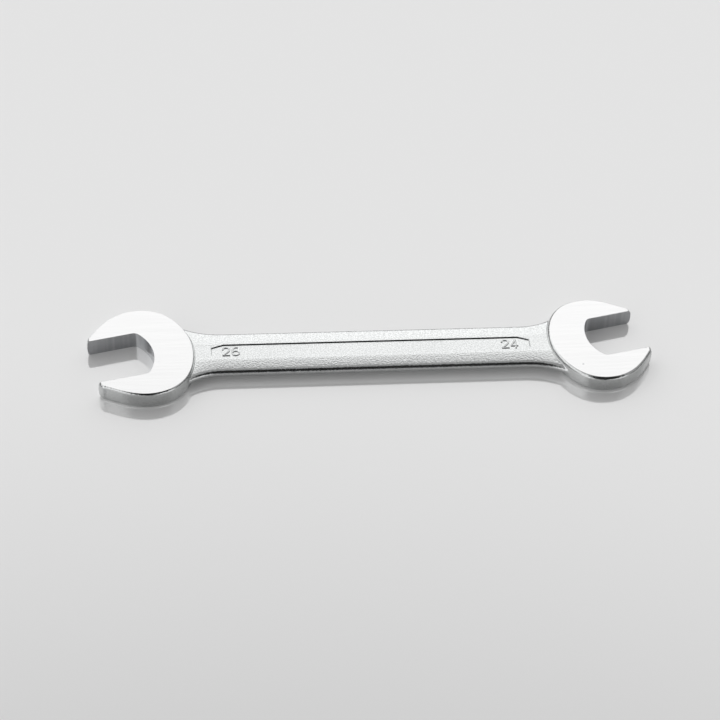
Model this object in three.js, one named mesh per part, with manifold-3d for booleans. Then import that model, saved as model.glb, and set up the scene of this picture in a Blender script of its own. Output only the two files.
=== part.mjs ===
// Double open-end wrench for 24 mm and 26 mm nuts, drop forged in one piece and chrome plated.
// Millimetres. The shank lies along X, the large head at -X, and the wrench rests on its flat faces.

import * as THREE from 'three';
import Module from 'manifold-3d';
import * as BufferGeometryUtils from 'three/addons/utils/BufferGeometryUtils.js';

// Driving dimensions of the two heads
const jawLarge = 26;
const jawSmall = 24;
const throatDepthLarge = 10.4;
const throatDepthSmall = 10.2;
const thicknessLarge = 8.1;
const thicknessSmall = 7.9;
const headWidthLarge = 54.3;
const headWidthSmall = 52.1;
const headShift = 0.6;
const nutSpacing = 211.8;
const nutOffset = 2.4;
const jawAngle = THREE.MathUtils.degToRad(13.1);
const prongReachLarge = 16.6;
const prongReachSmall = 15.7;
const prongStaggerLarge = 0.9;
const prongStaggerSmall = 0.1;
const prongTipWidth = 3;
const prongCornerWidth = 2;
const prongCornerLength = 1.1;
const prongSlopeThin = THREE.MathUtils.degToRad(28);
const prongSlopeThick = THREE.MathUtils.degToRad(42);
const headEdgeRadiusLarge = 1.5;
const headEdgeRadiusSmall = 1.8;
const groundStock = 0.2;

// Driving dimensions of the shank
const shankWidthLarge = 24.7;
const shankWidthSmall = 24.4;
const shankEdgeThickness = 4.2;
const shankThickness = 4.8;
const flareRadiusTight = 27;
const flareRadiusOpen = 36;

// Driving dimensions of the sunken panel and the raised size numbers
const panelLength = 141;
const panelWidth = 8.5;
const panelEndWidth = 4.6;
const panelChamferLength = 5.4;
const panelDepth = 0.5;
const panelWallRun = 0.35;
const numeralHeight = 5.4;
const numeralWidth = 3.8;
const numeralGap = 0.3;
const numeralStroke = 0.8;
const numeralRise = 0.25;
const numeralEndMargin = 4.9;
const numberLarge = '26';
const numberSmall = '24';

// Overrun of every cutting solid past the surface that it cuts
const overrun = 2;

// Outline of a head in shares of half its width: x runs out of the mouth from the nut's centre, y across it.
const backShare = new THREE.Vector2(-1.048, 0);
const backHandleShare = new THREE.Vector2(-1.048, 0.283);
const shoulderHandleShare = new THREE.Vector2(-0.9, 1);
const shoulderShare = new THREE.Vector2(-0.23, 1);
const cheekHandleShare = new THREE.Vector2(0.158, 1);
const prongHandleShare = 0.2;

// Throat of a jaw in shares of its width: a shallow arc between two corner arcs
const throatRadiusShare = 0.76;
const throatCornerShare = 0.12;

// Middle lines of the numerals' strokes in shares of half a numeral: x to the right, y up
const numeralShares = {
  2: {
    bends: [[[-1, 0.45], [-0.7, 0.88], [0, 1], [0.75, 0.85], [0.95, 0.4], [0.5, -0.1], [-1, -0.9]]],
    bars: [[[-1.1, -1], [1.1, -1]]],
    ring: null,
  },
  4: {
    bends: [],
    bars: [[[0.35, -1.1], [0.35, 1.05]], [[-1.1, -0.5], [1.1, -0.5]], [[-0.95, -0.5], [0.3, 1]]],
    ring: null,
  },
  6: {
    bends: [[[-1, -0.4], [-0.95, 0.25], [-0.5, 0.85], [0.1, 1], [0.8, 0.85]]],
    bars: [],
    ring: { centre: [0, -0.4], radii: [1, 0.6] },
  },
};

// Circle that stands for the back of a head where the shank's flares run into it
const flareCircleShare = 1;
const flareCircleSetbackShare = 0.06;

const outlineSteps = 16;
const cornerSteps = 5;
const edgeSteps = 6;

const wasm = await Module();
wasm.setup();

// Solids: a closed three.js geometry becomes a solid that can be joined and cut.
function solidOf(geometry) {
  const bare = geometry.index ? geometry.toNonIndexed() : geometry.clone();
  bare.deleteAttribute('normal');
  bare.deleteAttribute('uv');
  const merged = BufferGeometryUtils.mergeVertices(bare);
  const vertProperties = new Float32Array(merged.attributes.position.array);
  const triVerts = new Uint32Array(merged.index.array);
  return new wasm.Manifold(new wasm.Mesh({ numProp: 3, vertProperties, triVerts }));
}

function geometryOf(solid) {
  const mesh = solid.getMesh();
  const geometry = new THREE.BufferGeometry();
  geometry.setAttribute('position', new THREE.BufferAttribute(new Float32Array(mesh.vertProperties), 3));
  geometry.setIndex(new THREE.BufferAttribute(new Uint32Array(mesh.triVerts), 1));
  geometry.computeVertexNormals();
  return geometry;
}

// A plate whose shape is its widest outline, centred on the mid plane, with rounded edges
function roundedPlate(shape, thickness, radius) {
  const geometry = new THREE.ExtrudeGeometry(shape, {
    depth: thickness - 2 * radius,
    bevelThickness: radius,
    bevelSize: radius,
    bevelOffset: -radius,
    bevelSegments: edgeSteps,
    curveSegments: outlineSteps,
  });
  return geometry.translate(0, 0, radius - thickness / 2);
}

// A plain plate centred on the mid plane
function plate(shape, thickness) {
  const geometry = new THREE.ExtrudeGeometry(shape, {
    depth: thickness,
    bevelEnabled: false,
    curveSegments: outlineSteps,
  });
  return geometry.translate(0, 0, -thickness / 2);
}

// Heads: each one is described once, and its mouth looks away from the shank.
const largeHead = {
  jaw: jawLarge,
  halfWidth: headWidthLarge / 2,
  throatDepth: throatDepthLarge,
  reach: prongReachLarge,
  stagger: prongStaggerLarge,
  thickness: thicknessLarge,
  edgeRadius: headEdgeRadiusLarge,
  nut: new THREE.Vector2(-nutSpacing / 2, -nutOffset),
  turn: Math.PI + jawAngle,
};
const smallHead = {
  jaw: jawSmall,
  halfWidth: headWidthSmall / 2,
  throatDepth: throatDepthSmall,
  reach: prongReachSmall,
  stagger: prongStaggerSmall,
  thickness: thicknessSmall,
  edgeRadius: headEdgeRadiusSmall,
  nut: new THREE.Vector2(nutSpacing / 2, nutOffset),
  turn: jawAngle,
};

// The forging lies a little to one side of its jaw, so the outline's middle is shifted across the mouth.
function headOutline(head) {
  const half = head.jaw / 2;
  const at = (share, side) => new THREE.Vector2(share.x, side * share.y)
    .multiplyScalar(head.halfWidth).sub(new THREE.Vector2(0, headShift));
  const reach = (side) => head.reach + side * head.stagger / 2;
  const tip = (side) => new THREE.Vector2(reach(side), side * half);
  const tipCorner = (side) => new THREE.Vector2(reach(side), side * (half + prongCornerWidth));
  const tipSide = (side) => new THREE.Vector2(reach(side) - prongCornerLength, side * (half + prongTipWidth));
  const slope = (side) => (side < 0 ? prongSlopeThick : prongSlopeThin);
  const prongHandle = (side) => new THREE.Vector2(-Math.cos(slope(side)), side * Math.sin(slope(side)))
    .multiplyScalar(prongHandleShare * head.halfWidth).add(tipSide(side));
  const points = [tip(-1)];
  const follow = (curve, steps) => points.push(...curve.getPoints(steps).slice(1));
  const cubic = (a, b, c, d) => follow(new THREE.CubicBezierCurve(a, b, c, d), outlineSteps);
  const corner = (a, b, c) => follow(new THREE.QuadraticBezierCurve(a, b, c), cornerSteps);
  corner(tip(-1), tipCorner(-1), tipSide(-1));
  cubic(tipSide(-1), prongHandle(-1), at(cheekHandleShare, -1), at(shoulderShare, -1));
  cubic(at(shoulderShare, -1), at(shoulderHandleShare, -1), at(backHandleShare, -1), at(backShare, 1));
  cubic(at(backShare, 1), at(backHandleShare, 1), at(shoulderHandleShare, 1), at(shoulderShare, 1));
  cubic(at(shoulderShare, 1), at(cheekHandleShare, 1), prongHandle(1), tipSide(1));
  corner(tipSide(1), tipCorner(1), tip(1));
  return new THREE.Shape(points);
}

function jawShape(head) {
  const half = head.jaw / 2;
  const mouth = head.reach + head.stagger + overrun;
  const throat = throatRadiusShare * head.jaw;
  const centre = throat - head.throatDepth;
  const corner = throatCornerShare * head.jaw;
  const cornerY = half - corner;
  const cornerX = centre - Math.sqrt((throat - corner) ** 2 - cornerY ** 2);
  const meeting = Math.atan2(cornerY, cornerX - centre);
  const shape = new THREE.Shape();
  shape.moveTo(mouth, half);
  shape.lineTo(cornerX, half);
  shape.absarc(cornerX, cornerY, corner, Math.PI / 2, meeting, false);
  shape.absarc(centre, 0, throat, meeting, 2 * Math.PI - meeting, false);
  shape.absarc(cornerX, -cornerY, corner, 2 * Math.PI - meeting, 1.5 * Math.PI, false);
  shape.lineTo(mouth, -half);
  return shape;
}

function placeHeadPiece(geometry, head) {
  return solidOf(geometry.rotateZ(head.turn).translate(head.nut.x, head.nut.y, 0));
}

// The forging has rounded edges all round, and its two faces are ground flat.
function headBlank(head) {
  const forged = roundedPlate(headOutline(head), head.thickness + 2 * groundStock, head.edgeRadius);
  const side = 2 * (head.halfWidth + head.reach + headShift);
  const ground = new THREE.BoxGeometry(side, side, head.thickness);
  return placeHeadPiece(forged, head).intersect(placeHeadPiece(ground, head));
}

function jawCut(head) {
  return placeHeadPiece(plate(jawShape(head), head.thickness + 2 * overrun), head);
}

// Shank: its edges flare out in arcs that run into the backs of the heads.
function flareCircle(head) {
  const place = new THREE.Vector2(-flareCircleSetbackShare * head.halfWidth, -headShift);
  const centre = place.rotateAround(new THREE.Vector2(), head.turn).add(head.nut);
  return { centre, radius: flareCircleShare * head.halfWidth };
}

function flare(head, side, halfWidth, radius) {
  const circle = flareCircle(head);
  const y = side * (halfWidth + radius);
  const reach = circle.radius + radius;
  const inward = -Math.sign(head.nut.x);
  const x = circle.centre.x + inward * Math.sqrt(reach ** 2 - (y - circle.centre.y) ** 2);
  const toEdge = -side * Math.PI / 2;
  const toHead = Math.atan2(circle.centre.y - y, circle.centre.x - x);
  const swing = THREE.MathUtils.euclideanModulo(toHead - toEdge + Math.PI, 2 * Math.PI) - Math.PI;
  const points = [];
  for (let step = 0; step <= outlineSteps; step += 1) {
    const angle = toEdge + (swing * step) / outlineSteps;
    points.push(new THREE.Vector2(x + radius * Math.cos(angle), y + radius * Math.sin(angle)));
  }
  return points;
}

function shankShape() {
  const halfLarge = shankWidthLarge / 2;
  const halfSmall = shankWidthSmall / 2;
  return new THREE.Shape([
    flareCircle(largeHead).centre,
    ...flare(largeHead, -1, halfLarge, flareRadiusTight).reverse(),
    ...flare(smallHead, -1, halfSmall, flareRadiusOpen),
    flareCircle(smallHead).centre,
    ...flare(smallHead, 1, halfSmall, flareRadiusTight).reverse(),
    ...flare(largeHead, 1, halfLarge, flareRadiusOpen),
  ]);
}

// The flanks fall gently from the panel's rims to the rounded edges.
function crownShape() {
  const rim = panelWidth / 2;
  const foot = (Math.min(shankWidthLarge, shankWidthSmall) - shankEdgeThickness) / 2;
  const crest = shankThickness / 2;
  const edge = shankEdgeThickness / 2;
  return new THREE.Shape([
    new THREE.Vector2(-foot, -edge),
    new THREE.Vector2(-rim, -crest),
    new THREE.Vector2(rim, -crest),
    new THREE.Vector2(foot, -edge),
    new THREE.Vector2(foot, edge),
    new THREE.Vector2(rim, crest),
    new THREE.Vector2(-rim, crest),
    new THREE.Vector2(-foot, edge),
  ]);
}

function shank() {
  const slab = solidOf(roundedPlate(shankShape(), shankEdgeThickness, shankEdgeThickness / 2));
  const crown = plate(crownShape(), nutSpacing).rotateX(Math.PI / 2).rotateZ(Math.PI / 2);
  return slab.add(solidOf(crown));
}

// Panel: a shallow recess with sloped walls and chamfered ends, on both faces
function panelShape(inset) {
  const end = panelLength / 2 - inset;
  const shoulder = panelLength / 2 - panelChamferLength;
  const rim = panelWidth / 2 - inset;
  const tip = panelEndWidth / 2;
  return new THREE.Shape([
    new THREE.Vector2(-end, -tip),
    new THREE.Vector2(-shoulder, -rim),
    new THREE.Vector2(shoulder, -rim),
    new THREE.Vector2(end, -tip),
    new THREE.Vector2(end, tip),
    new THREE.Vector2(shoulder, rim),
    new THREE.Vector2(-shoulder, rim),
    new THREE.Vector2(-end, tip),
  ]);
}

function panelCut() {
  const geometry = new THREE.ExtrudeGeometry(panelShape(panelWallRun), {
    depth: overrun,
    bevelThickness: panelDepth,
    bevelSize: panelWallRun,
    bevelSegments: 1,
  });
  return geometry.translate(0, 0, shankThickness / 2);
}

// Numbers: each stroke follows its middle line with one width.
function stroke(curve, closed) {
  const steps = curve.isLineCurve ? 1 : outlineSteps;
  const left = [];
  const right = [];
  for (let step = 0; step <= steps; step += 1) {
    const point = curve.getPoint(step / steps);
    const along = curve.getTangent(step / steps);
    const aside = new THREE.Vector2(-along.y, along.x).multiplyScalar(numeralStroke / 2);
    left.push(point.clone().add(aside));
    right.push(point.clone().sub(aside));
  }
  if (!closed) {
    return new THREE.Shape([...right, ...left.reverse()]);
  }
  const ring = new THREE.Shape(right.slice(1));
  ring.holes.push(new THREE.Path(left.slice(1)));
  return ring;
}

function numeralStrokes(digit) {
  const halfWidth = (numeralWidth - numeralStroke) / 2;
  const halfHeight = (numeralHeight - numeralStroke) / 2;
  const place = ([x, y]) => new THREE.Vector2(x * halfWidth, y * halfHeight);
  const { bends, bars, ring } = numeralShares[digit];
  const strokes = [
    ...bends.map((shares) => stroke(new THREE.SplineCurve(shares.map(place)), false)),
    ...bars.map(([from, to]) => stroke(new THREE.LineCurve(place(from), place(to)), false)),
  ];
  if (ring) {
    const centre = place(ring.centre);
    const radii = place(ring.radii);
    strokes.push(stroke(new THREE.EllipseCurve(centre.x, centre.y, radii.x, radii.y), true));
  }
  return strokes;
}

function sizeNumber(text, end) {
  const pitch = numeralWidth + numeralGap;
  const first = end < 0
    ? -panelLength / 2 + numeralEndMargin + numeralWidth / 2
    : panelLength / 2 - numeralEndMargin - numeralWidth / 2 - pitch;
  const floor = shankThickness / 2 - panelDepth;
  const raise = (shape, index) => {
    const x = first + index * pitch;
    return solidOf(plate(shape, 2 * numeralRise).translate(x, 0, floor));
  };
  return [...text].flatMap((digit, index) => numeralStrokes(digit).map((shape) => raise(shape, index)));
}

// One forging: joined, then the jaws and panels are cut, then the numbers are raised on the panel floors.
function wrenchSolid() {
  const turned = (solid) => solid.rotate([180, 0, 0]);
  const panel = solidOf(panelCut());
  const numbers = [...sizeNumber(numberLarge, -1), ...sizeNumber(numberSmall, 1)];
  const body = headBlank(largeHead).add(headBlank(smallHead)).add(shank())
    .subtract(jawCut(largeHead)).subtract(jawCut(smallHead))
    .subtract(panel).subtract(turned(panel));
  return [...numbers, ...numbers.map(turned)].reduce((whole, number) => whole.add(number), body);
}

// The origin is under the middle of the wrench, on the surface that it rests on.
function setOnSurface(geometry) {
  geometry.computeBoundingBox();
  const box = geometry.boundingBox;
  const middle = box.getCenter(new THREE.Vector3());
  return geometry.translate(-middle.x, -middle.y, -box.min.z);
}

const chrome = new THREE.MeshStandardMaterial({ color: 0xc9cbcd, roughness: 0.25, metalness: 1 });
const wrench = new THREE.Mesh(setOnSurface(geometryOf(wrenchSolid())), chrome);
wrench.name = 'forged_wrench_body';

const group = new THREE.Group();
group.add(wrench);

export default group;
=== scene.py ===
# %% [markdown]
# Double open-end wrench for 26 mm and 24 mm nuts
#
# The real tool is one drop forging: two open heads on a slim shank, a sunken panel along the shank and the
# two sizes as raised numbers. It is plated with chrome, the shank is blasted to a satin skin and the two
# faces of each head are ground flat. This lesson rebuilds it with bmesh operators and procedural materials.
#
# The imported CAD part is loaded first. It fixes the place and the size of everything that follows.

# %% Load the frame
import math

import bmesh
import bpy
from mathutils import Matrix, Vector, geometry


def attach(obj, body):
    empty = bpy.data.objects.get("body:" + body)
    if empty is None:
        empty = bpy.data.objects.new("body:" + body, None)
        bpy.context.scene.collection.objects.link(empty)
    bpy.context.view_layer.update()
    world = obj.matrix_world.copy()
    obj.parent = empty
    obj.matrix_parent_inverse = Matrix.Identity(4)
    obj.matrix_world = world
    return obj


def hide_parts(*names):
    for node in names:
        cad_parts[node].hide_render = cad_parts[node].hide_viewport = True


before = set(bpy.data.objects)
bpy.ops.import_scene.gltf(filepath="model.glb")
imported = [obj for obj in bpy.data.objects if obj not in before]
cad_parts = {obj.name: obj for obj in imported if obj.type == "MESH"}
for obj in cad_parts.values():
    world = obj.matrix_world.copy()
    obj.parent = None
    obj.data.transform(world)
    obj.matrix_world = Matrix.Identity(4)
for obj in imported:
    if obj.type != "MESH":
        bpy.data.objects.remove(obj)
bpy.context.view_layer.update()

# %% [markdown]
# Sizes
#
# A wrench is named by its jaws: 26 mm and 24 mm are the widths of the nuts that fit. All sizes are given
# here in millimetres. Blender works in metres, so the finished mesh is scaled once, by MM.
#
# The forging is the same above and below its middle plane, so heights are counted from that plane. A head's
# stock is what grinding takes off each of its faces, and its stagger is how much further one prong reaches
# than the other. HEAD_SHIFT is how far a head's outline sits to one side of its jaw, and PLACE_IN_FRAME
# puts the finished wrench where the CAD part lies.

# %% Sizes of the wrench in millimetres
MM = 0.001
NUT_SPACING = 211.8
NUT_OFFSET = 2.4
JAW_ANGLE = math.radians(13.1)
HEAD_SHIFT = 0.6
PLACE_IN_FRAME = Vector((0.357, 0.376, 4.05))

HEADS = {
    "26": {
        "jaw": 26, "half_width": 27.13, "throat_depth": 10.4, "reach": 16.6, "stagger": 0.9,
        "thickness": 8.1, "edge_radius": 2.0, "stock": 0.55, "side": -1, "turn": math.pi + JAW_ANGLE,
    },
    "24": {
        "jaw": 24, "half_width": 26.03, "throat_depth": 10.2, "reach": 15.7, "stagger": 0.1,
        "thickness": 7.9, "edge_radius": 1.9, "stock": 0.25, "side": 1, "turn": JAW_ANGLE,
    },
}
for head in HEADS.values():
    head["nut"] = Vector((head["side"] * NUT_SPACING / 2, head["side"] * NUT_OFFSET, 0))

SHANK_HALF_WIDTH = {-1: 12.35, 1: 12.2}
SHANK_EDGE = 2.0
SHANK_CREST = 2.4
PANEL_HALF_LENGTH = 70.5
PANEL_HALF_WIDTH = 4.25
PANEL_END_HALF_WIDTH = 2.3
PANEL_CHAMFER = 5.4
PANEL_DEPTH = 0.5
PANEL_WALL_RUN = 0.35
print("Two heads,", NUT_SPACING, "mm between the nuts")

# %% [markdown]
# The outline of a head
#
# Seen from above, a head is a thick C. Its outline could be copied as hundreds of points, but four Bezier
# curves and two small corner curves describe it better: the handles can be moved, and the curve stays
# smooth. The points are given in the jaw's own directions, x out of the mouth and y across it, in shares of
# half the head's width. Blender's interpolate_bezier walks along each curve.

# %% Draw the outline of a head
BACK = (-1.048, 0)
BACK_HANDLE = (-1.048, 0.283)
SHOULDER_HANDLE = (-0.9, 1)
SHOULDER = (-0.23, 1)
CHEEK_HANDLE = (0.158, 1)
PRONG_HANDLE = 0.2
PRONG_SLOPE = {-1: math.radians(42), 1: math.radians(28)}
PRONG_TIP_WIDTH = 3
PRONG_CORNER_WIDTH = 2
PRONG_CORNER_LENGTH = 1.1
CURVE_STEPS = 26
CORNER_STEPS = 7


def walk(points, curve, steps):
    """Adds the points of one cubic Bezier curve, without its first one."""
    points.extend(geometry.interpolate_bezier(*[Vector((*p, 0)) for p in curve], steps + 1)[1:])


def head_outline(head):
    """The forging's widest outline, in the jaw's directions."""
    half, jaw_half = head["half_width"], head["jaw"] / 2

    def at(share, side):
        return (share[0] * half, side * share[1] * half - HEAD_SHIFT)

    def tip_corner(side):
        reach = head["reach"] + side * head["stagger"] / 2
        start = Vector((reach, side * jaw_half))
        corner = Vector((reach, side * (jaw_half + PRONG_CORNER_WIDTH)))
        end = Vector((reach - PRONG_CORNER_LENGTH, side * (jaw_half + PRONG_TIP_WIDTH)))
        return [start, start.lerp(corner, 2 / 3), end.lerp(corner, 2 / 3), end]

    def prong_handle(side):
        slope = PRONG_SLOPE[side]
        return tip_corner(side)[3] + PRONG_HANDLE * half * Vector((-math.cos(slope), side * math.sin(slope)))

    points = [Vector((*tip_corner(-1)[0], 0))]
    walk(points, tip_corner(-1), CORNER_STEPS)
    walk(points, [tip_corner(-1)[3], prong_handle(-1), at(CHEEK_HANDLE, -1), at(SHOULDER, -1)], CURVE_STEPS)
    walk(points, [at(SHOULDER, -1), at(SHOULDER_HANDLE, -1), at(BACK_HANDLE, -1), at(BACK, 1)], CURVE_STEPS)
    walk(points, [at(BACK, 1), at(BACK_HANDLE, 1), at(SHOULDER_HANDLE, 1), at(SHOULDER, 1)], CURVE_STEPS)
    walk(points, [at(SHOULDER, 1), at(CHEEK_HANDLE, 1), prong_handle(1), tip_corner(1)[3]], CURVE_STEPS)
    walk(points, tip_corner(1)[::-1], CORNER_STEPS)
    return points


for name, head in HEADS.items():
    print("Head", name, "outline has", len(head_outline(head)), "points")

# %% [markdown]
# From outline to forged plate
#
# Three operators do most of the work on a head. Extruding gives an outline its height, bevelling rounds an
# edge, and a cut with a plane grinds a face flat. The flat could be drawn by hand, but in the works
# grinding takes a little off the rounded plate, and a plane that cuts does the same: the crease where the
# flat meets the rounding appears by itself. Each helper works on a bmesh, Blender's editable mesh in
# memory.

# %% Extrude, bevel and grind
MERGE_DISTANCE = 1e-5
ON_SURFACE = 1e-3


def extruded(points, bottom, top):
    """A closed solid between two heights over an outline."""
    bm = bmesh.new()
    face = bm.faces.new([bm.verts.new((p.x, p.y, bottom)) for p in points])
    moved = bmesh.ops.extrude_face_region(bm, geom=[face])["geom"]
    verts = [v for v in moved if isinstance(v, bmesh.types.BMVert)]
    bmesh.ops.translate(bm, verts=verts, vec=(0, 0, top - bottom))
    bmesh.ops.recalc_face_normals(bm, faces=bm.faces)
    return bm


def bevel(bm, edges, offset, segments):
    bmesh.ops.bevel(
        bm, geom=edges, offset=offset, offset_type="OFFSET", affect="EDGES", segments=segments,
        profile=0.5, material=-1, clamp_overlap=False, loop_slide=False,
    )


def ground(bm, height):
    """Cuts both faces flat at this height above and below the middle plane, and closes them again."""
    for side in (-1, 1):
        everything = bm.verts[:] + bm.edges[:] + bm.faces[:]
        bmesh.ops.bisect_plane(
            bm, geom=everything, dist=MERGE_DISTANCE, plane_co=(0, 0, side * height), plane_no=(0, 0, side),
            clear_outer=True,
        )
        bmesh.ops.holes_fill(bm, edges=[e for e in bm.edges if e.is_boundary], sides=0)
    bmesh.ops.recalc_face_normals(bm, faces=bm.faces)


def rims_at(bm, height):
    """The edges that lie at this height above or below the middle plane."""
    return [e for e in bm.edges if all(abs(abs(v.co.z) - height) < ON_SURFACE for v in e.verts)]


print("Grinding takes off each face, in mm:", {name: head["stock"] for name, head in HEADS.items()})

# %% [markdown]
# A forged head before its jaw is cut
#
# A forging leaves its die more easily when its walls lean, so a head is widest at its middle plane and a
# little narrower at both faces. The outline becomes a ring of edges, the ring is extruded up to a narrower
# copy of itself, and the wall is mirrored down. The rims are bevelled, because a forged edge is never
# sharp, and the faces are ground. Last, the tips of the prongs are rounded off towards both faces: their
# points move back, the more so the nearer they lie to a face.

# %% Forge and grind a plate
EDGE_SEGMENTS = 10
DRAFT = 0.22
TIP_RUN = 5
TIP_ROUND = 0.45
TIP_BAND = 1


def drafted_plate(head):
    """A head without its jaw, in the jaw's own directions."""
    height = head["thickness"] / 2 + head["stock"]
    narrow = dict(head, half_width=head["half_width"] - DRAFT, reach=head["reach"] - DRAFT)
    bm = bmesh.new()
    ring = [bm.verts.new(p) for p in head_outline(head)]
    edges = [bm.edges.new(pair) for pair in zip(ring, ring[1:] + ring[:1])]
    bmesh.ops.extrude_edge_only(bm, edges=edges)
    bm.verts.ensure_lookup_table()
    for vert, point in zip(bm.verts[-len(ring):], head_outline(narrow)):
        vert.co = (point.x, point.y, height)
    bmesh.ops.mirror(
        bm, geom=bm.verts[:] + bm.edges[:] + bm.faces[:], axis="Z", merge_dist=MERGE_DISTANCE)
    bmesh.ops.remove_doubles(bm, verts=bm.verts, dist=MERGE_DISTANCE)
    bmesh.ops.holes_fill(bm, edges=[e for e in bm.edges if e.is_boundary], sides=0)
    bmesh.ops.recalc_face_normals(bm, faces=bm.faces)
    bevel(bm, rims_at(bm, height), head["edge_radius"], EDGE_SEGMENTS)
    ground(bm, head["thickness"] / 2)
    for vert in bm.verts:
        along = min(max((vert.co.x - head["reach"] + TIP_RUN) / TIP_RUN, 0), 1)
        away = max(abs(vert.co.z) - TIP_BAND, 0) / (head["thickness"] / 2 - TIP_BAND)
        vert.co.x -= TIP_ROUND * along ** 2 * away ** 2
    return bm


print("Walls lean by", DRAFT, "mm, and prong tips are rounded over", TIP_RUN, "mm")

# %% [markdown]
# Objects and booleans
#
# A Boolean modifier joins one object with another or cuts it. It is the safest way to bring separately made
# solids together, because its exact solver leaves no wall inside. The result is read from the evaluated
# object and kept as plain mesh, so no modifier stays behind.

# %% Turn a bmesh into an object, and join or cut objects
def object_of(bm, name):
    """Turns a bmesh into an object, still in millimetres."""
    mesh = bpy.data.meshes.new(name)
    bm.to_mesh(mesh)
    bm.free()
    made = bpy.data.objects.new(name, mesh)
    bpy.context.scene.collection.objects.link(made)
    return made


def boolean(body, tool, operation):
    """Joins or cuts one object with another, keeps the result as the body's mesh and removes the tool."""
    modifier = body.modifiers.new(operation, "BOOLEAN")
    modifier.operation = operation
    modifier.solver = "EXACT"
    modifier.object = tool
    bpy.context.view_layer.update()
    result = bpy.data.meshes.new_from_object(body.evaluated_get(bpy.context.evaluated_depsgraph_get()))
    body.modifiers.clear()
    body.data = result
    bpy.data.objects.remove(tool)
    return body


print("Booleans use the exact solver, on meshes in millimetres")

# %% [markdown]
# The jaws
#
# A jaw has two parallel walls and a throat that is a shallow arc between two rounded corners. The broach
# that cuts it goes straight through, so its solid is a plain extrusion. The cut leaves a sharp edge, which
# is broken with a very small bevel, as a file or a tumbling barrel does.

# %% Draw the outline of a jaw
THROAT_RADIUS = 0.76
THROAT_CORNER = 0.12
THROAT_STEPS, THROAT_CORNER_STEPS = 32, 8
OVERRUN = 2


def arc(centre, radius, start, end, steps):
    angles = [start + (end - start) * step / steps for step in range(steps + 1)]
    return [Vector((centre[0] + radius * math.cos(a), centre[1] + radius * math.sin(a), 0)) for a in angles]


def jaw_outline(head):
    """The cutter's outline, in the jaw's directions. It runs past the prongs at the mouth."""
    half = head["jaw"] / 2
    throat, corner = THROAT_RADIUS * head["jaw"], THROAT_CORNER * head["jaw"]
    middle, corner_y = throat - head["throat_depth"], half - corner
    corner_x = middle - math.sqrt((throat - corner) ** 2 - corner_y ** 2)
    meeting = math.atan2(corner_y, corner_x - middle)
    mouth = head["reach"] + head["stagger"] + OVERRUN
    return (
        [Vector((mouth, half, 0))]
        + arc((corner_x, corner_y), corner, math.pi / 2, meeting, THROAT_CORNER_STEPS)
        + arc((middle, 0), throat, meeting, 2 * math.pi - meeting, THROAT_STEPS)[1:-1]
        + arc((corner_x, -corner_y), corner, 2 * math.pi - meeting, 1.5 * math.pi, THROAT_CORNER_STEPS)
        + [Vector((mouth, -half, 0))]
    )


for name, head in HEADS.items():
    print("Jaw", name, "is", head["jaw"], "mm wide, its cutter has", len(jaw_outline(head)), "points")

# %% [markdown]
# The finished heads
#
# Each head is forged, ground and broached. It is then turned by the jaw's angle and moved to its nut,
# because a shape is easier to make lying straight and turned afterwards.

# %% Forge, grind and broach the two heads
BROKEN_EDGE = 0.13
JAW_MERGE_DISTANCE = 1e-4


def head_solid(name, head):
    body = object_of(drafted_plate(head), "head_" + name)
    cutter = extruded(jaw_outline(head), -head["thickness"], head["thickness"])
    boolean(body, object_of(cutter, "jaw_cutter"), "DIFFERENCE")
    bm = bmesh.new()
    bm.from_mesh(body.data)
    bmesh.ops.remove_doubles(bm, verts=bm.verts, dist=JAW_MERGE_DISTANCE)
    half, jaw = head["jaw"] / 2, jaw_outline(head)

    def on_jaw(vert):
        flat = Vector((vert.co.x, vert.co.y, 0))
        near = min((geometry.intersect_point_line(flat, a, b)[0] - flat).length for a, b in zip(jaw, jaw[1:]))
        return near < ON_SURFACE and abs(flat.y) < half + ON_SURFACE

    rims = [e for e in rims_at(bm, head["thickness"] / 2) if all(on_jaw(v) for v in e.verts)]
    bevel(bm, rims, BROKEN_EDGE, 2)
    bmesh.ops.rotate(bm, verts=bm.verts, cent=(0, 0, 0), matrix=Matrix.Rotation(head["turn"], 3, "Z"))
    bmesh.ops.translate(bm, verts=bm.verts, vec=head["nut"])
    bm.to_mesh(body.data)
    bm.free()
    print("Head", name, "has", len(body.data.polygons), "faces and", len(rims), "broken edges")
    return body


heads = {name: head_solid(name, head) for name, head in HEADS.items()}

# %% [markdown]
# The shank's outline
#
# Between the heads the shank is almost straight. Near each head its edges flare out in arcs that run into
# the back of the head. The flares differ, because the heads are turned to one side. Placed by eye, an arc
# would leave a kink at its ends. So each is found as a draughtsman finds it: one circle that touches both
# the straight edge and the back of the head.

# %% Find the flares
FLARE_RADIUS = {(-1, -1): 27, (-1, 1): 36, (1, -1): 36, (1, 1): 27}
FLARE_SETBACK = 0.06


def flare_at(end, side):
    """Centre and radius of one flare, and where it meets the head. End and side are -1 or 1."""
    head = HEADS["26" if end < 0 else "24"]
    offset = Vector((-FLARE_SETBACK * head["half_width"], -HEAD_SHIFT, 0))
    circle = Matrix.Rotation(head["turn"], 3, "Z") @ offset + head["nut"]
    radius = FLARE_RADIUS[end, side]
    y = side * (SHANK_HALF_WIDTH[end] + radius)
    reach = head["half_width"] + radius
    x = circle.x - end * math.sqrt(reach ** 2 - (y - circle.y) ** 2)
    return x, y, radius, x + (circle.x - x) * radius / reach


FLARES = {key: flare_at(*key) for key in FLARE_RADIUS}


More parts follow.
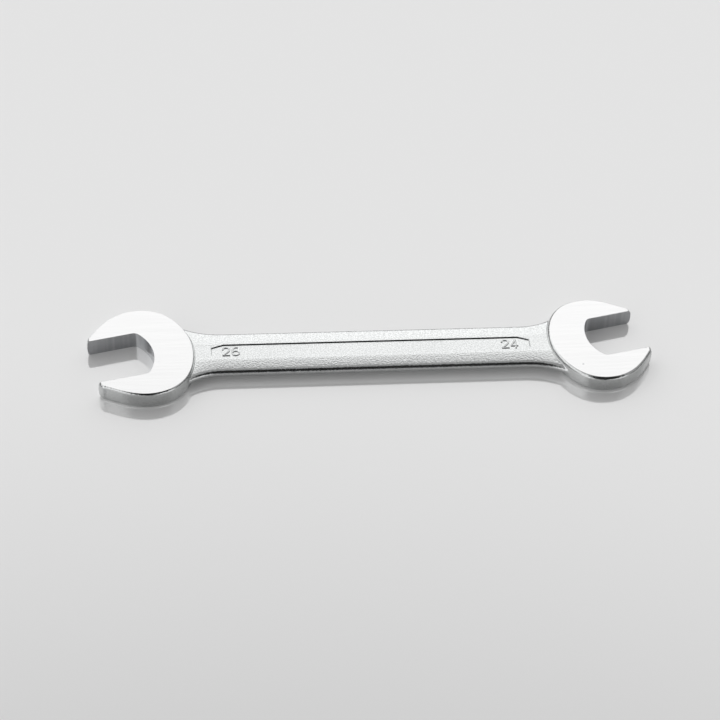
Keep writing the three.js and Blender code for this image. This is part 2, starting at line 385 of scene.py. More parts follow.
def edge_y(side, inset, x):
    """Where the shank's edge, moved in by an inset, crosses a line of one x."""
    end = -1 if x < 0 else 1
    centre_x, centre_y, radius, _ = FLARES[end, side]
    if end * (x - centre_x) > 0:
        return centre_y - side * math.sqrt(max((radius + inset) ** 2 - (x - centre_x) ** 2, 0))
    left, right = FLARES[-1, side][0], FLARES[1, side][0]
    share = (x - left) / (right - left)
    half = SHANK_HALF_WIDTH[-1] + (SHANK_HALF_WIDTH[1] - SHANK_HALF_WIDTH[-1]) * share
    return side * (half - inset)


print("Flares start at x =", {key: round(flare[0], 1) for key, flare in FLARES.items()})

# %% [markdown]
# Sections of the shank
#
# A plain bar could be an outline that is extruded and bevelled. This shank has fillets and a panel with
# soft ends, so it is lofted: a chain of points runs across its upper face from one edge to the other and is
# moved along the shank section by section. At a head a small fillet runs round the shoulder, because a
# sharp corner would crack. The last sections therefore bend until they lie parallel to the back of the head,
# and climb it in a cove. The helpers below say where the back of a head is, how high the fillet stands, and
# how wide and deep the panel is.

# %% The back of a head, the fillet and the panel
FILLET = 0.6
PAST_THE_NUT = 1


def back_curve(end, offset):
    """The back of a head, moved outwards by an offset, as points sorted by y."""
    head = HEADS["26" if end < 0 else "24"]
    turn = Matrix.Rotation(head["turn"], 3, "Z")
    outline = head_outline(dict(head, half_width=head["half_width"] - DRAFT / 2))
    points = [turn @ p + head["nut"] for p in outline]
    curve = []
    for before, here, after in zip(points, points[1:], points[2:]):
        along = (after - before).normalized()
        moved = here + offset * Vector((-along.y, along.x, 0))
        if end * (here.x - head["nut"].x) < PAST_THE_NUT:
            curve.append((moved.y, moved.x))
    return sorted(curve)


def back_x(curve, y):
    """The x of a back curve at a y."""
    for (y0, x0), (y1, x1) in zip(curve, curve[1:]):
        if y0 <= y <= y1:
            return x0 + (x1 - x0) * (y - y0) / max(y1 - y0, 1e-9)
    return curve[0][1] if y < curve[0][0] else curve[-1][1]


def cove(distance):
    """Height of the fillet above the shank at a distance from the head."""
    reach = min(max(FILLET - distance, 0), FILLET)
    return FILLET - math.sqrt(FILLET ** 2 - reach ** 2)


def panel_state(x):
    """Half width and depth of the panel at a place along the shank."""
    along = abs(x)
    shoulder = PANEL_HALF_LENGTH - PANEL_CHAMFER
    taper = min(max((along - shoulder) / PANEL_CHAMFER, 0), 1)
    sink = min(max((PANEL_HALF_LENGTH - along) / PANEL_WALL_RUN, 0), 1)
    return PANEL_HALF_WIDTH + (PANEL_END_HALF_WIDTH - PANEL_HALF_WIDTH) * taper, PANEL_DEPTH * sink


for x in (0, 68):
    print("Panel at x =", x, "has half width and depth", [round(size, 2) for size in panel_state(x)])

# %% [markdown]
# Where a section meets the shank's edge
#
# The place of a section is a rule, x_of, that gives an x for each y. A straight section has one x for all,
# and a bent one follows the back of a head. Its end lies on this rule and on the shank's edge at once. That
# point is found by halving an interval again and again, which takes no formula for either curve.

# %% Find the end of a section
LAST_STRAIGHT = 72.4
HALVINGS = 40


def solve_x(side, inset, x_of, x_at):
    """The x at which a section meets the shank's edge. A straight one has the same x for any two y."""
    if x_of(0) == x_of(SHANK_EDGE):
        return x_at
    end = -1 if x_at < 0 else 1
    near, far = end * LAST_STRAIGHT, FLARES[end, side][3]
    for _ in range(HALVINGS):
        x = (near + far) / 2
        if end * (x - x_of(edge_y(side, inset, x))) < 0:
            near = x
        else:
            far = x
    return x


print("Sections are straight up to", LAST_STRAIGHT, "mm from the middle")

# %% [markdown]
# One section
#
# A section has a fully rounded edge, a flank that rises a little to the panel's rim, the rim, a sloped wall
# and the panel's floor. Where the panel ends, wall and floor rise to the rim's height.

# %% Points of one section
ROUND_STEPS = 12
ROUND_END = math.radians(84)
FLANK_STEPS = 7
FLANK_SLOPE = 0.55
RIDGE = 5.15
WALL_SOFTENING = 0.08
RIM_DROP = 0.1


def half_section(side, x_of, x_at, rise):
    """Points from one edge to the panel's middle."""
    points = []
    for step in range(ROUND_STEPS + 1):
        angle = ROUND_END * step / ROUND_STEPS
        inset = SHANK_EDGE * (1 - math.cos(angle))
        x = solve_x(side, inset, x_of, x_at)
        points.append(Vector((x, edge_y(side, inset, x), SHANK_EDGE * math.sin(angle))))
    foot = points[-1]
    half, depth = panel_state(x_at)
    for step in range(1, FLANK_STEPS + 1):
        share = step / FLANK_STEPS
        y = foot.y + (side * RIDGE - foot.y) * share
        fall = FLANK_SLOPE * (1 - share) + (1 - FLANK_SLOPE) * (1 - share) ** 2
        z = SHANK_CREST - (SHANK_CREST - foot.z) * fall
        points.append(Vector((x_of(y), y, z)))
    foot_y = half - PANEL_WALL_RUN
    wall = [
        (half + WALL_SOFTENING, 0), (half, RIM_DROP),
        (foot_y, 1 - RIM_DROP), (foot_y - WALL_SOFTENING, 1), (half / 2, 1),
    ]
    for y, share in wall:
        points.append(Vector((x_of(side * y), side * y, SHANK_CREST - depth * share)))
    for point in points:
        point.z *= 1 + rise / SHANK_CREST
    return points


def section(x_of, x_at, rise):
    """The whole chain of points across the shank's upper face."""
    upper = half_section(1, x_of, x_at, rise)
    lower = half_section(-1, x_of, x_at, rise)
    _, depth = panel_state(x_at)
    middle = Vector((x_of(0), 0, (SHANK_CREST - depth) * (1 + rise / SHANK_CREST)))
    return upper + [middle] + lower[::-1]


print("A section has", len(section(lambda y: 0, 0, 0)), "points")

# %% [markdown]
# The row of sections
#
# Sections stand close together where the form changes, at the panel's ends and in the fillets, and far
# apart where it doesn't. From the last straight section on, twelve bend step by step into the curve of the
# head's back, and eight climb the fillet.

# %% Place the sections
FILLET_LEAD = 1.25
BEND_STEPS = 12
FILLET_SHARES = (1, 0.8, 0.62, 0.46, 0.32, 0.2, 0.1, 0.03)
STRAIGHT_PLACES = [
    0, 12, 24, 36, 48, 56, 60, 62, 64, PANEL_HALF_LENGTH - PANEL_CHAMFER, 66.5, 68, 69.5,
    PANEL_HALF_LENGTH - 0.45, PANEL_HALF_LENGTH - PANEL_WALL_RUN, PANEL_HALF_LENGTH - 0.05,
    PANEL_HALF_LENGTH, PANEL_HALF_LENGTH + 0.1, 71.5, LAST_STRAIGHT,
]


def bent_stations(end):
    """From the last straight section into a head: a rule for x, a place at this end and the fillet's rise."""
    made, straight, first = [], end * LAST_STRAIGHT, back_curve(end, FILLET * FILLET_LEAD)
    for step in range(1, BEND_STEPS + 1):
        share = step / BEND_STEPS
        made.append((lambda y, s=share: straight + (back_x(first, y) - straight) * s, straight, 0))
    for share in FILLET_SHARES:
        curve = back_curve(end, FILLET * share)
        made.append((lambda y, c=curve: back_x(c, y), straight, cove(FILLET * share)))
    return made


def stations():
    """Every section from the 26 end to the 24 end."""
    middle = sorted({side * x for x in STRAIGHT_PLACES for side in (-1, 1)})
    return bent_stations(-1)[::-1] + [(lambda y, x=x: x, x, 0) for x in middle] + bent_stations(1)


print("The shank has", len(stations()), "sections")

# %% [markdown]
# The loft
#
# The first chain is extruded once per section, and the new points are put where that section is. That gives
# clean rows of four-sided faces that follow the form, so the rounded edges and the sunken panel shade
# smoothly. The upper half is mirrored to make the lower one. The end sections are pushed a little way into
# the heads, so that the join has metal on both sides.

# %% Loft the shank
ROOT_DEPTH = 2.5


def rooted(points, head):
    """A copy of a section, pushed into the head."""
    inward = [Vector((head["nut"].x - p.x, head["nut"].y - p.y, 0)).normalized() for p in points]
    return [p + ROOT_DEPTH * way for p, way in zip(points, inward)]


def shank_solid():
    sections = [section(*station) for station in stations()]
    sections = [rooted(sections[0], HEADS["26"])] + sections + [rooted(sections[-1], HEADS["24"])]
    bm = bmesh.new()
    chain = [bm.verts.new(p) for p in sections[0]]
    edges = [bm.edges.new(pair) for pair in zip(chain, chain[1:])]
    for points in sections[1:]:
        moved = bmesh.ops.extrude_edge_only(bm, edges=edges)["geom"]
        edges = [e for e in moved if isinstance(e, bmesh.types.BMEdge)]
        bm.verts.ensure_lookup_table()
        for vert, point in zip(bm.verts[-len(points):], points):
            vert.co = point
    bmesh.ops.recalc_face_normals(bm, faces=bm.faces)
    bmesh.ops.mirror(
        bm, geom=bm.verts[:] + bm.edges[:] + bm.faces[:], axis="Z", merge_dist=MERGE_DISTANCE)
    bmesh.ops.remove_doubles(bm, verts=bm.verts, dist=MERGE_DISTANCE)
    bmesh.ops.holes_fill(bm, edges=[e for e in bm.edges if e.is_boundary], sides=0)
    bmesh.ops.recalc_face_normals(bm, faces=bm.faces)
    print("Shank:", len(bm.faces), "faces and", sum(e.is_boundary for e in bm.edges), "open edges")
    return object_of(bm, "shank")


shank = shank_solid()

# %% [markdown]
# The raised numbers
#
# The sizes stand on the panel's floor in low strokes. A text object would give them flat tops, but forged
# ones are round. So each stroke is a curve with a round bevel whose lower half lies inside the metal, and
# its middle line can be moved point by point. The points are given in shares of half a numeral.

# %% Shapes and places of the numerals
NUMERAL_HALF = Vector((1.5, 2.38))
STROKE_HALF = 0.39
STROKE_HEIGHT = 0.4
NUMERAL_X = {("26", 0): -63.85, ("26", 1): -59.65, ("24", 0): 59.5, ("24", 1): 63.55}
NUMERAL_Y = 0.15
STROKES = {
    "2": [
        ("SMOOTH", [(-1, 0.45), (-0.7, 0.88), (0, 1), (0.75, 0.85), (0.95, 0.4), (0.5, -0.1), (-1, -0.95)]),
        ("STRAIGHT", [(-1.1, -1), (1.1, -1)]),
    ],
    "4": [
        ("STRAIGHT", [(0.35, -1.1), (0.35, 1.05)]),
        ("STRAIGHT", [(-1.1, -0.5), (1.1, -0.5)]),
        ("STRAIGHT", [(-0.95, -0.5), (0.3, 1)]),
    ],
    "6": [
        ("SMOOTH", [(-1, -0.45), (-0.95, 0.2), (-0.6, 0.8), (0, 1), (0.6, 0.98)]),
        ("RING", [(-1, -0.45), (0, 0.1), (1, -0.45), (0, -1)]),
    ],
}
print("Strokes in each numeral:", {numeral: len(parts) for numeral, parts in STROKES.items()})

# %% [markdown]
# From strokes to a mesh
#
# A curve has no faces, so each stroke is turned into a mesh and brought to its height. Every numeral is
# placed twice: as it is on the upper panel, and turned over about the shank's axis on the lower one, so
# that the numbers read the right way from both sides.

# %% Turn the strokes into a mesh
STROKE_BEVEL_STEPS = 3
STROKE_CURVE_STEPS = 8


def stroke_mesh(kind, shares, centre):
    curve = bpy.data.curves.new("stroke", "CURVE")
    curve.dimensions = "3D"
    curve.bevel_depth, curve.bevel_resolution, curve.use_fill_caps = STROKE_HALF, STROKE_BEVEL_STEPS, True
    curve.resolution_u = STROKE_CURVE_STEPS
    spline = curve.splines.new("BEZIER")
    spline.bezier_points.add(len(shares) - 1)
    spline.use_cyclic_u = kind == "RING"
    for point, (x, y) in zip(spline.bezier_points, shares):
        point.co = (centre.x + x * NUMERAL_HALF.x, centre.y + y * NUMERAL_HALF.y, 0)
        point.handle_left_type = point.handle_right_type = "VECTOR" if kind == "STRAIGHT" else "AUTO"
    made = bpy.data.objects.new("stroke", curve)
    bpy.context.scene.collection.objects.link(made)
    bpy.context.view_layer.update()
    mesh = bpy.data.meshes.new_from_object(made)
    bpy.data.objects.remove(made)
    return mesh


def numbers_into(bm):
    """Adds the numbers to a body's mesh, on its upper and its lower face."""
    to_height = Matrix.Diagonal((1, 1, STROKE_HEIGHT / STROKE_HALF, 1))
    placed = Matrix.Translation((0, 0, SHANK_CREST - PANEL_DEPTH)) @ to_height
    for (number, index), x in NUMERAL_X.items():
        for kind, shares in STROKES[number[index]]:
            mesh = stroke_mesh(kind, shares, Vector((x, NUMERAL_Y)))
            for turned in (Matrix.Identity(4), Matrix.Rotation(math.pi, 4, "X")):
                copy = mesh.copy()
                copy.transform(turned @ placed)
                bm.from_mesh(copy)
                bpy.data.meshes.remove(copy)
            bpy.data.meshes.remove(mesh)


print("Numerals on each face:", len(NUMERAL_X))

# %% [markdown]
# Which finish a face gets
#
# The flat faces of the heads are ground, the walls inside a jaw are broached, and all else is blasted. The
# steep sides of the numbers get painted shade, a darker tone of the blasted skin, which keeps the thin
# strokes readable.
# Faces picked by hand would have to be picked again after each change, so a rule looks at where a face lies
# and which way it points.

# %% Tell the finishes apart
# The last finish is painted shade: a darker copy of the blasted skin for the steep sides of the numbers.
FINISHES = ("blasted", "ground", "broached", "painted_shade")
STROKE_SIDE = 0.8
LEVEL = 0.99
FACE_MARGIN = 0.01
JAW_MARGIN = 0.05


def in_jaw(head, point):
    local = Matrix.Rotation(-head["turn"], 3, "Z") @ (point - head["nut"])
    return abs(local.y) < head["jaw"] / 2 + JAW_MARGIN and local.x > -head["throat_depth"] - JAW_MARGIN


def finish_of(face, on_number):
    centre, normal = face.calc_center_median(), face.normal
    if on_number:
        # Painted shade: the steep sides of a number get the darker copy of the blasted skin.
        return "painted_shade" if abs(normal.z) < STROKE_SIDE else "blasted"
    head = HEADS["26" if centre.x < 0 else "24"]
    if abs(normal.z) > LEVEL and abs(abs(centre.z) - head["thickness"] / 2) < FACE_MARGIN:
        return "ground"
    return "broached" if in_jaw(head, centre) else "blasted"


print("Finishes:", FINISHES)

# %% [markdown]
# One forging
#
# The two heads and the shank are joined with exact booleans, and the numbers are added. Smooth shading with
# sharp edges above an angle, and between two finishes, keeps the ground creases crisp and the roundings
# soft. Last, the mesh is moved to its place in the frame and scaled to metres. The object itself stays at
# the origin, so that patterns on Object coordinates stay where they are.
#
# One trap is worth knowing: clearing a mesh's materials sets every face's material index to 0, so it is
# done before the new indices are written.

# %% Join the forging and give each face its finish
SHARP = math.radians(20)
JOIN_MERGE_DISTANCE = 2e-3


def forging():
    body = boolean(boolean(shank, heads["26"], "UNION"), heads["24"], "UNION")
    bm = bmesh.new()
    bm.from_mesh(body.data)
    bmesh.ops.remove_doubles(bm, verts=bm.verts, dist=JOIN_MERGE_DISTANCE)
    bmesh.ops.dissolve_degenerate(bm, edges=bm.edges, dist=JOIN_MERGE_DISTANCE)
    before = set(bm.faces)
    numbers_into(bm)
    for face in bm.faces:
        face.smooth = True
        face.material_index = FINISHES.index(finish_of(face, face not in before))
    for edge in bm.edges:
        same = len({face.material_index for face in edge.link_faces}) == 1
        edge.smooth = same and edge.calc_face_angle(0) < SHARP
    bmesh.ops.translate(bm, verts=bm.verts, vec=PLACE_IN_FRAME)
    bmesh.ops.scale(bm, verts=bm.verts, vec=(MM, MM, MM))
    body.data.materials.clear()
    bm.to_mesh(body.data)
    bm.free()
    body.name = body.data.name = "forged_body"
    return body


wrench = forging()
for index, finish in enumerate(FINISHES):
    areas = [face.area for face in wrench.data.polygons if face.material_index == index]
    print("Finish", finish, "is on", len(areas), "faces,", round(sum(areas) / MM ** 2), "square mm")

# %% [markdown]
# Finishes
#
# Chrome is a metal, so Metallic is 1 and nearly all of its look comes from roughness and from what it
# reflects. The finishes differ in their small relief. The blasted skin has a fine grain that scatters
# light, the ground faces have hair lines in one direction, and the broached walls have faint marks from top
# to bottom.
#
# Everything is made of nodes, and a few short helpers make a node and wire it in one line.

# %% Helpers for nodes
def new_group(name, inputs, outputs):
    """A node group with its input and output nodes. All outputs are values."""
    tree = bpy.data.node_groups.new(name, "ShaderNodeTree")
    for socket, kind, value in inputs:
        made = tree.interface.new_socket(socket, in_out="INPUT", socket_type=kind)
        if value is not None:
            made.default_value = value
    for socket in outputs:
        tree.interface.new_socket(socket, in_out="OUTPUT", socket_type="NodeSocketFloat")
    return tree, tree.nodes.new("NodeGroupInput"), tree.nodes.new("NodeGroupOutput")


def math_node(tree, operation, a, b=0, clamp=False):
    node = tree.nodes.new("ShaderNodeMath")
    node.operation, node.use_clamp = operation, clamp
    for socket, value in zip(node.inputs, (a, b)):
        if isinstance(value, (int, float)):
            socket.default_value = value
        else:
            tree.links.new(value, socket)
    return node.outputs[0]


def noise(tree, vector, scale, detail, roughness=0.5):
    node = tree.nodes.new("ShaderNodeTexNoise")
    node.inputs["Scale"].default_value = scale
    node.inputs["Detail"].default_value = detail
    node.inputs["Roughness"].default_value = roughness
    tree.links.new(vector, node.inputs["Vector"])
    return node.outputs["Fac"]


def map_range(tree, value, start, end):
    """A smooth step from 0 at start to 1 at end."""
    node = tree.nodes.new("ShaderNodeMapRange")
    node.interpolation_type = "SMOOTHSTEP"
    node.inputs["From Min"].default_value, node.inputs["From Max"].default_value = start, end
    tree.links.new(value, node.inputs["Value"])
    return node.outputs["Result"]


print("Node helpers: new_group, math_node, noise, map_range")

# %% [markdown]
# Shared effects
#
# An effect that several finishes use is a node group, made once and placed in each material with its own
# values. The groups put out only values, and the shader stays in the material. Noise with a scale of 1400
# has about 1.4 bumps in a millimetre, because the place is measured in metres. Little detail is asked of
# it: waves finer than a pixel would only blur the reflection, and the grain would be lost.

# %% Blasted grain
GRAIN_SCALE, COARSE_SCALE, WAVE_SCALE = 1400, 900, 160
COARSE_SHARE, WAVE_SHARE = 0.35, 0.2
SPECK_SCALE, SPECK_RANGE = 1700, (0.3, 0.6)
PATCH_SCALE = 60


def grain_group():
    """Blasted grain: a height for bump, dark and light specks, and large soft patches."""
    tree, given, out = new_group(
        "blast_grain", [("Place", "NodeSocketVector", None)], ["Height", "Specks", "Patches"])
    place = given.outputs["Place"]
    coarse = math_node(tree, "MULTIPLY", noise(tree, place, COARSE_SCALE, 1), COARSE_SHARE)
    waves = math_node(tree, "MULTIPLY", noise(tree, place, WAVE_SCALE, 1), WAVE_SHARE)
    height = math_node(tree, "ADD", noise(tree, place, GRAIN_SCALE, 0), coarse)
    tree.links.new(math_node(tree, "ADD", height, waves), out.inputs["Height"])
    tree.links.new(map_range(tree, noise(tree, place, SPECK_SCALE, 0), *SPECK_RANGE), out.inputs["Specks"])
    tree.links.new(noise(tree, place, PATCH_SCALE, 3, 0.6), out.inputs["Patches"])
    return tree


GRAIN = grain_group()
print("Group", GRAIN.name, "has", len(GRAIN.nodes), "nodes")

# %% [markdown]
# Tool marks and pits
#
# Tool marks are noise too: the place is stretched before it comes in, which draws the bumps out into lines.
# Pits come from a Voronoi texture. It divides space into cells, each with a middle and a random colour. The
# distance to the middle gives a pit its round form, and the colour decides whether the cell has a pit at
# all.

# %% Groups for tool marks and pits
FINE_LINES, BROAD_LINES = 1, 0.3
TONE_RANGE = (0.3, 0.7)
PIT_RIM = (1, 0.3)


def lines_group():
    """Tool marks: fine lines along one direction, which the stretched place sets."""
    tree, given, out = new_group("tool_marks", [("Place", "NodeSocketVector", None)], ["Height", "Tone"])
    place = given.outputs["Place"]
    fine, broad = noise(tree, place, FINE_LINES, 2, 0.6), noise(tree, place, BROAD_LINES, 2)
    tree.links.new(math_node(tree, "ADD", fine, broad), out.inputs["Height"])
    tree.links.new(map_range(tree, broad, *TONE_RANGE), out.inputs["Tone"])
    return tree


def pits_group():
    """Small round pits, 1 in a pit and 0 elsewhere. Rarity is the share of cells that stay without one."""
    inputs = [
        ("Place", "NodeSocketVector", None), ("Scale", "NodeSocketFloat", 130),
        ("Radius", "NodeSocketFloat", 0.09), ("Rarity", "NodeSocketFloat", 0.72),
    ]
    tree, given, out = new_group("pits", inputs, ["Mask"])
    cells = tree.nodes.new("ShaderNodeTexVoronoi")
    tree.links.new(given.outputs["Scale"], cells.inputs["Scale"])
    tree.links.new(given.outputs["Place"], cells.inputs["Vector"])
    from_middle = math_node(tree, "DIVIDE", cells.outputs["Distance"], given.outputs["Radius"])
    near = map_range(tree, from_middle, *PIT_RIM)
    chance = tree.nodes.new("ShaderNodeSeparateColor")
    tree.links.new(cells.outputs["Color"], chance.inputs["Color"])
    chosen = math_node(tree, "GREATER_THAN", chance.outputs["Red"], given.outputs["Rarity"])
    tree.links.new(math_node(tree, "MULTIPLY", near, chosen), out.inputs["Mask"])
    return tree


MARKS, PITS = lines_group(), pits_group()
for group in (MARKS, PITS):
    print("Group", group.name, "has", len(group.nodes), "nodes")

# %% [markdown]
# Helpers for chrome
#
# Every finish starts as the same plain chrome. Tint, roughness and bump then each wire one socket of the
# Principled shader. The patterns read Object coordinates, so they sit on the metal in metres and don't
# slide.

# %% Plain chrome and what varies on it
def chrome(name):
    material = bpy.data.materials.new(name)
    material.use_nodes = True
    tree = material.node_tree
    shader = tree.nodes["Principled BSDF"]
    shader.inputs["Metallic"].default_value = 1
    return material, tree, shader, tree.nodes.new("ShaderNodeTexCoord").outputs["Object"]


def place_group(tree, group, place, **values):
    """Places a shared effect, with its own values for some of its inputs."""
    node = tree.nodes.new("ShaderNodeGroup")
    node.node_tree = group
    tree.links.new(place, node.inputs["Place"])
    for socket, value in values.items():
        node.inputs[socket].default_value = value
    return node.outputs


def stretched(tree, place, turn, scale):
    """A place that is turned about Z and scaled per axis, which draws a noise out into lines."""
    node = tree.nodes.new("ShaderNodeMapping")
    node.inputs["Rotation"].default_value = (0, 0, turn)
    node.inputs["Scale"].default_value = scale
    tree.links.new(place, node.inputs["Vector"])
    return node.outputs["Vector"]


def tint(tree, shader, share, first, second):
    """Base colour from a first grey to a second by a share."""
    node = tree.nodes.new("ShaderNodeMix")
    node.data_type = "RGBA"
    node.inputs["A"].default_value, node.inputs["B"].default_value = (*first, 1), (*second, 1)
    tree.links.new(share, node.inputs["Factor"])
    tree.links.new(node.outputs["Result"], shader.inputs["Base Color"])


def roughness(tree, shader, share, low, spread):
    """Roughness between low and low + spread by a share."""
    rough = math_node(tree, "ADD", math_node(tree, "MULTIPLY", share, spread), low)
    tree.links.new(rough, shader.inputs["Roughness"])


def bump(tree, shader, height, distance, after=None):
    """Relief of this height in metres, on top of an earlier one."""
    node = tree.nodes.new("ShaderNodeBump")
    node.inputs["Distance"].default_value = distance
    tree.links.new(height, node.inputs["Height"])
    if after:
        tree.links.new(after, node.inputs["Normal"])
    tree.links.new(node.outputs["Normal"], shader.inputs["Normal"])
    return node.outputs["Normal"]


print("Chrome helpers: chrome, place_group, stretched, tint, roughness, bump")

# %% [markdown]
# Blasted skin
#
# Shot leaves thousands of tiny dents, which show as grain where the light changes across the surface, and
# as small dark specks elsewhere. A picture of such a skin could be mapped on, but a pattern made of noise
# has no seams. The panel lies deeper and is less exposed, so its relief is half as high. The same finish in
# a darker tone paints shade on the steep sides of the numbers.

# %% Blasted chrome, plain and with painted shade
DENT_SCALE, DENT_RADIUS, DENT_RARITY, DENT_DEPTH = 1150, 0.5, 0.6, 0.9
BLASTED_RELIEF = 0.000065
PANEL_RELIEF_SHARE = 0.5
PANEL_EDGE_INNER, PANEL_EDGE_OUTER = 0.0036, 0.0046
SKIN_ROUGHNESS = (0.14, 0.12)
SKIN_GREYS = ((0.672, 0.684, 0.682), (0.77, 0.782, 0.78))
# Darker greys that paint shade on the steep sides of the numbers.
PAINTED_SHADE_GREYS = ((0.36, 0.36, 0.37), (0.52, 0.52, 0.53))


def blasted(name, dark, light):
    material, tree, shader, place = chrome(name)
    grain = place_group(tree, GRAIN, place)
    dents = place_group(tree, PITS, place, Scale=DENT_SCALE, Radius=DENT_RADIUS, Rarity=DENT_RARITY)["Mask"]
    dents = math_node(tree, "MULTIPLY", dents, DENT_DEPTH)
    tint(tree, shader, math_node(tree, "SUBTRACT", grain["Specks"], dents, clamp=True), dark, light)
    roughness(tree, shader, grain["Patches"], *SKIN_ROUGHNESS)
    split = tree.nodes.new("ShaderNodeSeparateXYZ")
    tree.links.new(place, split.inputs["Vector"])
    from_axis = math_node(tree, "ABSOLUTE", split.outputs["Y"])
    beside_panel = map_range(tree, from_axis, PANEL_EDGE_INNER, PANEL_EDGE_OUTER)
    extra = math_node(tree, "MULTIPLY", beside_panel, 1 - PANEL_RELIEF_SHARE)
    strength = math_node(tree, "ADD", extra, PANEL_RELIEF_SHARE)
    bump(tree, shader, math_node(tree, "MULTIPLY", grain["Height"], strength), BLASTED_RELIEF)
    return material


skin = blasted("blasted_chrome", *SKIN_GREYS)
# The darker copy paints shade on the steep sides of the numbers.
painted_shade = blasted("painted_shade_chrome", *PAINTED_SHADE_GREYS)
print("Blasted finishes:", skin.name, painted_shade.name)

# %% [markdown]
# Ground faces
#
# A grinding belt leaves hair lines in one direction. They are far too shallow to see one by one, but they
# draw the highlights out. A ground forging also keeps a few tiny pits, where scale was deeper than the cut.

# %% Ground chrome
HAIR_LINE_TURN = 0.5
HAIR_LINE_SCALE = (90, 2400, 1)
HAIR_LINE_RELIEF = 0.0000003
PIT_RELIEF = -0.00002
GROUND_ROUGHNESS = (0.1, 0.06)
GROUND_GREYS = ((0.78, 0.78, 0.78), (0.6, 0.6, 0.61))


def ground_face():
    material, tree, shader, place = chrome("ground_chrome")
    marks = place_group(tree, MARKS, stretched(tree, place, HAIR_LINE_TURN, HAIR_LINE_SCALE))
    pits = place_group(tree, PITS, place)["Mask"]
    tint(tree, shader, pits, *GROUND_GREYS)
    roughness(tree, shader, marks["Tone"], *GROUND_ROUGHNESS)
    lines = bump(tree, shader, marks["Height"], HAIR_LINE_RELIEF)
    bump(tree, shader, pits, PIT_RELIEF, after=lines)
    return material


ground_chrome = ground_face()
print("Ground finish:", ground_chrome.name)

# %% [markdown]
# Broached walls
#
# The teeth of a broach pass from face to face, so their marks run straight up and down. The noise is
# therefore drawn out along Z. The walls are a little darker than the faces, because plating comes out
# thinner in a recess.

# %% Broached chrome
BROACH_SCALE = (1500, 1500, 60)
BROACH_RELIEF = 0.00001
BROACHED_ROUGHNESS = (0.07, 0.08)
BROACHED_GREYS = ((0.62, 0.63, 0.65), (0.74, 0.75, 0.765))


def broached():
    material, tree, shader, place = chrome("broached_chrome")
    marks = place_group(tree, MARKS, stretched(tree, place, 0, BROACH_SCALE))
    grain = place_group(tree, GRAIN, place)
    tint(tree, shader, marks["Tone"], *BROACHED_GREYS)
    roughness(tree, shader, grain["Patches"], *BROACHED_ROUGHNESS)
    bump(tree, shader, marks["Height"], BROACH_RELIEF)
    return material


broached_chrome = broached()
print("Broached finish:", broached_chrome.name)

# %% [markdown]
# Finishes on the wrench
#
# The materials go into the mesh's slots in the order of FINISHES, because each face has its slot's number.
# The wrench then takes the CAD part's place: it rides on the one body there is, and the CAD node is hidden.

# %% Fill the slots and replace the CAD node
for material in (skin, ground_chrome, broached_chrome, painted_shade):
    wrench.data.materials.append(material)
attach(wrench, "root")
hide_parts("forged_wrench_body")
print("Finishes:", [m.name for m in wrench.data.materials])

# %% [markdown]
# Table
#
# The wrench lies on a glossy pale table that shows its mirror image. A plain glossy surface would mirror
# more and more towards the horizon. A little Metallic and no Specular keeps the mirror image about as
# strong from every side. The camera and the mirror image see the table a little brighter than the light
# alone would make it.

# %% Table
FLOOR_HALF = 3.0
MIRROR_GLOW, CAMERA_GLOW = 0.02, 0.09
bm = bmesh.new()
bmesh.ops.create_grid(bm, x_segments=1, y_segments=1, size=FLOOR_HALF)
floor_mesh = bpy.data.meshes.new("table")
bm.to_mesh(floor_mesh)
bm.free()
floor = bpy.data.objects.new("table", floor_mesh)
bpy.context.scene.collection.objects.link(floor)
table = bpy.data.materials.new("table_top")
table.use_nodes = True
surface = table.node_tree.nodes["Principled BSDF"]
surface.inputs["Base Color"].default_value = (0.9, 0.9, 0.9, 1)
surface.inputs["Metallic"].default_value = 0.3
surface.inputs["Specular IOR Level"].default_value = 0
surface.inputs["Roughness"].default_value = 0.07
surface.inputs["Emission Color"].default_value = (1, 1, 1, 1)
rays = table.node_tree.nodes.new("ShaderNodeLightPath").outputs
glossy = math_node(table.node_tree, "MULTIPLY", rays["Is Glossy Ray"], MIRROR_GLOW)
direct = math_node(table.node_tree, "MULTIPLY", rays["Is Camera Ray"], CAMERA_GLOW)
glow = math_node(table.node_tree, "ADD", glossy, direct)
table.node_tree.links.new(glow, surface.inputs["Emission Strength"])
floor_mesh.materials.append(table)
print("The table is", 2 * FLOOR_HALF, "m wide")

# %% [markdown]
# Camera
#
# The camera stands a metre away, a little to the left, and looks down at 44 degrees with a long lens, so
# that the far head looks hardly smaller than the near one. Its place is written as two angles and a
# distance, and its own directions are worked out from them, because a camera looks along its local -Z.

# %% Camera
AZIMUTH, ELEVATION, ROLL = 0.1048, 0.7658, 0.0449
DISTANCE = 1.0336
TARGET = Vector((-4.52, -0.803, 0)) * MM
FOCAL_PIXELS, PICTURE_PIXELS = 2339.5, 720

sideways = Vector((math.cos(AZIMUTH), -math.sin(AZIMUTH), 0))
away = Vector((-math.sin(AZIMUTH), -math.cos(AZIMUTH), 0))
back = away * math.cos(ELEVATION) + Vector((0, 0, math.sin(ELEVATION)))
upward = back.cross(sideways)
right = sideways * math.cos(ROLL) + upward * math.sin(ROLL)
up = upward * math.cos(ROLL) - sideways * math.sin(ROLL)
lens = bpy.data.cameras.new("camera")
lens.sensor_width = 36
lens.lens = lens.sensor_width * FOCAL_PIXELS / PICTURE_PIXELS
camera = bpy.data.objects.new("camera", lens)
axes = Matrix((right, up, back)).transposed().to_4x4()
camera.matrix_world = Matrix.Translation(TARGET + back * DISTANCE) @ axes
bpy.context.scene.collection.objects.link(camera)
bpy.context.scene.camera = camera
print("Lens:", round(lens.lens), "mm, looking down at", round(math.degrees(ELEVATION)), "degrees")

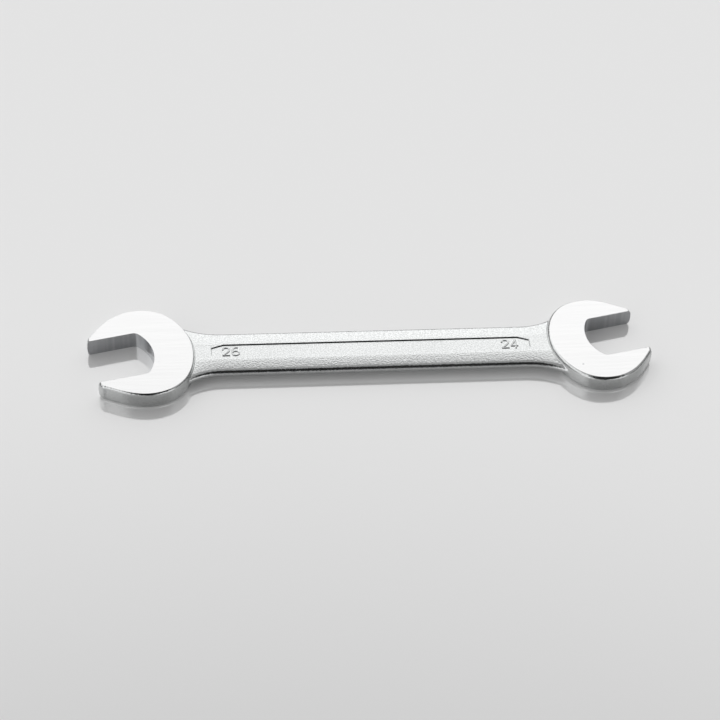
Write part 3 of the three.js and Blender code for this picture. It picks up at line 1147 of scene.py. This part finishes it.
# %% [markdown]
# Light
#
# Chrome shows its surroundings, so the light is a room more than a lamp. A photographer puts such a tool in
# a white tent: bright cloth behind, cloth at the left, less light from the right and from above, and a dark
# opening where the camera looks in. The opening gives the thin black lines along the rounded edges that
# make metal look like metal.
#
# The tent could be built of planes and lamps. Painted into the world's colour, as a row of soft round cards
# that each move the light to their own level within an angle, it needs no objects at all.

# %% Soft cards
def card(tree, direction, azimuth, elevation, inner, outer):
    """1 within an angle round a direction, 0 outside a wider one. Azimuth 0 is the far side, 90 the right."""
    azimuth, elevation = math.radians(azimuth), math.radians(elevation)
    aim = tree.nodes.new("ShaderNodeVectorMath")
    aim.operation = "DOT_PRODUCT"
    aim.inputs[1].default_value = (
        math.sin(azimuth) * math.cos(elevation), math.cos(azimuth) * math.cos(elevation), math.sin(elevation))
    tree.links.new(direction, aim.inputs[0])
    fade = tree.nodes.new("ShaderNodeMapRange")
    fade.interpolation_type = "SMOOTHSTEP"
    fade.inputs["From Min"].default_value = math.cos(math.radians(outer))
    fade.inputs["From Max"].default_value = math.cos(math.radians(inner))
    tree.links.new(aim.outputs["Value"], fade.inputs["Value"])
    return fade.outputs["Result"]


def blend_to(tree, level, target, share):
    """Moves a light level to a target by a share."""
    node = tree.nodes.new("ShaderNodeMix")
    tree.links.new(share, node.inputs["Factor"])
    for socket, value in (("A", level), ("B", target)):
        if isinstance(value, (int, float)):
            node.inputs[socket].default_value = value
        else:
            tree.links.new(value, node.inputs[socket])
    return node.outputs["Result"]


print("Card helpers: card, blend_to")

# %% [markdown]
# The tent
#
# A card's aim is its azimuth and elevation, and it fades out between two angles from there, all in degrees.
# Near the table the tent is dark, apart from two bright gaps to the left and right behind the camera. They
# give the upright walls of the heads their lighter and darker parts. The camera itself sees a plain pale
# backdrop.

# %% Paint the tent
LEFT_LEVEL, LOW_LEVEL, GAP_LEVEL, BACKDROP_LEVEL = 1, 0.07, 1.1, 0.73
CARDS = {
    "right": {"target": 0.4, "aim": (100, 25), "fade": (35, 70)},
    "far": {"target": 1.26, "aim": (3, 32), "fade": (30, 62)},
    "top": {"target": 0.36, "aim": (0, 90), "fade": (26, 48)},
    "opening": {"target": 0.015, "aim": (173, 34), "fade": (31, 45)},
}
GAP_AZIMUTH, GAP_ELEVATION, GAP_FADE = 140, 6, (14, 24)
ABOVE_THE_LOW_RING = (72, 84)

world = bpy.data.worlds.new("tent")
bpy.context.scene.world = world
world.use_nodes = True
tree = world.node_tree
direction = tree.nodes.new("ShaderNodeTexCoord").outputs["Generated"]
level = LEFT_LEVEL
for spec in CARDS.values():
    level = blend_to(tree, level, spec["target"], card(tree, direction, *spec["aim"], *spec["fade"]))
low = LOW_LEVEL
for side in (-1, 1):
    low = blend_to(tree, low, GAP_LEVEL, card(tree, direction, side * GAP_AZIMUTH, GAP_ELEVATION, *GAP_FADE))
level = blend_to(tree, low, level, card(tree, direction, 0, 90, *ABOVE_THE_LOW_RING))
level = blend_to(tree, level, BACKDROP_LEVEL, tree.nodes.new("ShaderNodeLightPath").outputs["Is Camera Ray"])
tree.links.new(level, tree.nodes["Background"].inputs["Color"])
bpy.context.scene.view_settings.view_transform = "Standard"
print("The tent has", len(CARDS), "cards, a low ring and two gaps")
